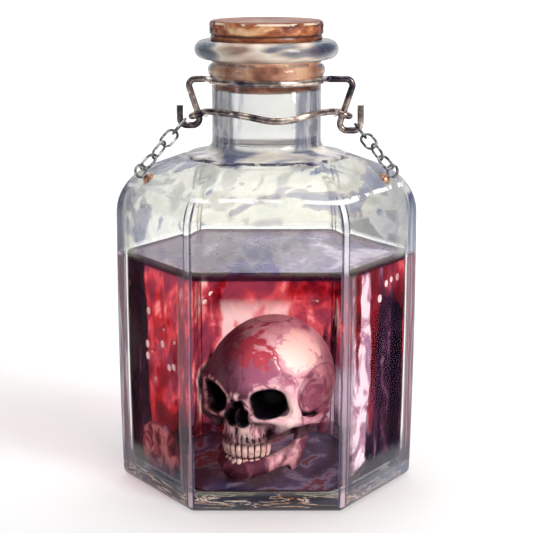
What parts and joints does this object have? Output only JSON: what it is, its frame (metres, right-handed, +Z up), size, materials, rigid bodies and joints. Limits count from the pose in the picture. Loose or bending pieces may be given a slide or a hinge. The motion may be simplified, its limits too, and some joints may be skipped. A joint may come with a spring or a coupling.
{
  "type": "poison bottle",
  "caption": "Six-sided glass bottle with a cork stopper, a wire bail and two chains at its neck, holding a liquid with a skull lying in it.",
  "frame": {"origin": "centre of the base, on the plane it stands on", "axes": "+Z up along the neck, -Y the front flat, +X to the right as seen from the front"},
  "size_m": [0.096, 0.0838, 0.148],
  "materials": {
    "glass": "gloss",
    "liquid": "gloss",
    "bone": "matte",
    "teeth": "satin",
    "cork": "satin",
    "bail_wire": "satin",
    "chain": "satin",
    "copper": "satin"
  },
  "bodies": {
    "bottle": {"glass_bottle": "glass", "liquid": "liquid", "skull_cranium": "bone", "skull_jaw": "bone", "upper_teeth": "teeth", "lower_teeth": "teeth", "neck_wire": "bail_wire", "rear_neck_wire": "bail_wire", "left_shoulder_stud": "copper", "right_shoulder_stud": "copper", "left_shoulder_eye": "chain", "right_shoulder_eye": "chain"},
    "stopper": {"stopper_head": "cork", "stopper_shank": "cork"},
    "bow": {"front_bow": "bail_wire"},
    "left_chain": {"left_chain_link_1": "chain", "left_chain_link_2": "chain", "left_chain_link_3": "chain", "left_chain_link_4": "chain"},
    "right_chain": {"right_chain_link_1": "chain", "right_chain_link_2": "chain", "right_chain_link_3": "chain", "right_chain_link_4": "chain"}
  },
  "joints": [
    {"name": "stopper_lift", "type": "slide", "parent": "bottle", "child": "stopper", "axis": [0, 0, 1], "range_m": [0, 0.04]},
    {"name": "bow_rock", "type": "hinge", "parent": "bottle", "child": "bow", "pos_m": [0, 0, 0.11845], "axis": [1, 0, 0], "range_deg": [-15, 15]},
    {"name": "left_chain_roll", "type": "hinge", "parent": "bottle", "child": "left_chain", "pos_m": [-0.02676, 0, 0.11549], "axis": [-0.5792, -0.5139, -0.6328], "range_deg": [-12, 12]},
    {"name": "right_chain_roll", "type": "hinge", "parent": "bottle", "child": "right_chain", "pos_m": [0.02916, 0, 0.11379], "axis": [0.527, -0.5776, -0.6234], "range_deg": [-12, 12]}
  ]
}
